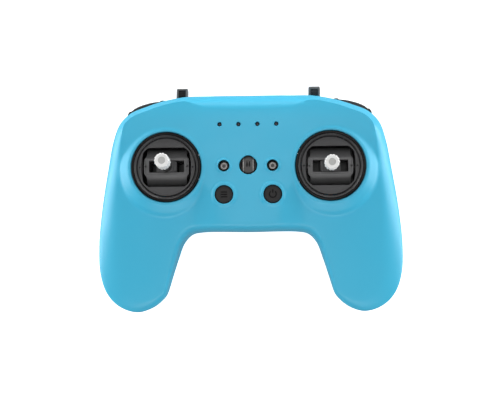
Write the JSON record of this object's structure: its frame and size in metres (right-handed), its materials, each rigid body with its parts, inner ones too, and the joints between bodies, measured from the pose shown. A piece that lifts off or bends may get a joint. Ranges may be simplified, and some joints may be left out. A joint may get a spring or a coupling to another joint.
{
  "type": "radio transmitter controller",
  "caption": "Game-pad shaped radio transmitter for drones and models: blue shell, stick units in round black rings, face buttons, toggle switches and shoulder buttons.",
  "frame": {"origin": "centre of the footprint on the plane that the battery door and grips rest on", "axes": "+Z out of the face, +Y towards the top edge with the toggle switches, +X to the right as seen from the front"},
  "size_m": [0.158, 0.1183, 0.0576],
  "materials": {
    "blue_shell": "fine satin moulded shell",
    "black_plastic": "satin black moulding",
    "grey_plastic": "dark grey fine-textured moulding",
    "dark_rubber": "matt silicone rubber",
    "white_plastic": "white moulded knob",
    "steel": "bright steel",
    "board": "green circuit board",
    "battery_wrap": "film wrap",
    "clear_plastic": "clear light pipe"
  },
  "bodies": {
    "case": {"front_shell": "blue_shell", "back_shell": "blue_shell", "battery_door": "blue_shell", "left_trim_ring": "black_plastic", "left_stick_frame": "black_plastic", "left_bumper_switch": "black_plastic", "left_toggle_switch": "black_plastic", "left_face_plate": "grey_plastic", "left_pitch_sensor": "grey_plastic", "left_roll_sensor": "grey_plastic", "left_return_spring": "steel", "left_front_screw": "steel", "left_door_screw": "steel", "left_upper_case_screw": "steel", "left_lower_case_screw": "steel", "right_trim_ring": "black_plastic", "right_stick_frame": "black_plastic", "right_bumper_switch": "black_plastic", "right_toggle_switch": "black_plastic", "right_face_plate": "grey_plastic", "right_pitch_sensor": "grey_plastic", "right_roll_sensor": "grey_plastic", "right_return_spring": "steel", "right_front_screw": "steel", "right_door_screw": "steel", "right_upper_case_screw": "steel", "right_lower_case_screw": "steel", "menu_button_switch": "steel", "power_button_switch": "steel", "radio_module": "steel", "usb_socket": "steel", "strap_cup": "black_plastic", "buzzer": "black_plastic", "strap_bar": "grey_plastic", "main_board": "board", "battery_pack": "battery_wrap", "antenna_strip": "battery_wrap", "led_pipe_1": "clear_plastic", "led_pipe_2": "clear_plastic", "led_pipe_3": "clear_plastic", "led_pipe_4": "clear_plastic"},
    "left_yoke": {"left_barrel": "grey_plastic"},
    "right_yoke": {"right_barrel": "grey_plastic"},
    "left_stick": {"left_carriage": "black_plastic", "left_stick_pin": "steel", "left_stick_shaft": "steel", "left_stick_knob": "white_plastic"},
    "right_stick": {"right_carriage": "black_plastic", "right_stick_pin": "steel", "right_stick_shaft": "steel", "right_stick_knob": "white_plastic"},
    "menu_cap": {"menu_button": "dark_rubber"},
    "power_cap": {"power_button": "dark_rubber"},
    "left_toggle": {"left_toggle_lever": "grey_plastic"},
    "right_toggle": {"right_toggle_lever": "grey_plastic"},
    "left_shoulder": {"left_bumper": "black_plastic"},
    "right_shoulder": {"right_bumper": "black_plastic"}
  },
  "joints": [
    {"name": "left_pitch", "type": "hinge", "parent": "case", "child": "left_yoke", "pos_m": [-0.0414, 0.0156, 0.0265], "axis": [1, 0, 0], "range_deg": [-22, 28]},
    {"name": "left_roll", "type": "hinge", "parent": "left_yoke", "child": "left_stick", "pos_m": [-0.0414, 0.0156, 0.0265], "axis": [0, 0.9986, -0.0523], "range_deg": [-25, 25], "stiffness_Nm_per_rad": 0.06},
    {"name": "right_pitch", "type": "hinge", "parent": "case", "child": "right_yoke", "pos_m": [0.0414, 0.0156, 0.0265], "axis": [1, 0, 0], "range_deg": [-25, 25], "stiffness_Nm_per_rad": 0.06},
    {"name": "right_roll", "type": "hinge", "parent": "right_yoke", "child": "right_stick", "pos_m": [0.0414, 0.0156, 0.0265], "axis": [0, 1, 0], "range_deg": [-25, 25], "stiffness_Nm_per_rad": 0.06},
    {"name": "menu_press", "type": "slide", "parent": "case", "child": "menu_cap", "axis": [0, 0, -1], "range_m": [0, 0.0008], "stiffness_N_per_m": 900},
    {"name": "power_press", "type": "slide", "parent": "case", "child": "power_cap", "axis": [0, 0, -1], "range_m": [0, 0.0008], "stiffness_N_per_m": 900},
    {"name": "left_toggle_tilt", "type": "hinge", "parent": "case", "child": "left_toggle", "pos_m": [-0.0356, 0.0508, 0.013], "axis": [1, 0, 0], "range_deg": [0, 28]},
    {"name": "right_toggle_tilt", "type": "hinge", "parent": "case", "child": "right_toggle", "pos_m": [0.0342, 0.0508, 0.013], "axis": [1, 0, 0], "range_deg": [-28, 0]},
    {"name": "left_bumper_press", "type": "slide", "parent": "case", "child": "left_shoulder", "axis": [0.3548, -0.9349, 0], "range_m": [0, 0.001], "stiffness_N_per_m": 700},
    {"name": "right_bumper_press", "type": "slide", "parent": "case", "child": "right_shoulder", "axis": [-0.3548, -0.9349, 0], "range_m": [0, 0.001], "stiffness_N_per_m": 700}
  ]
}
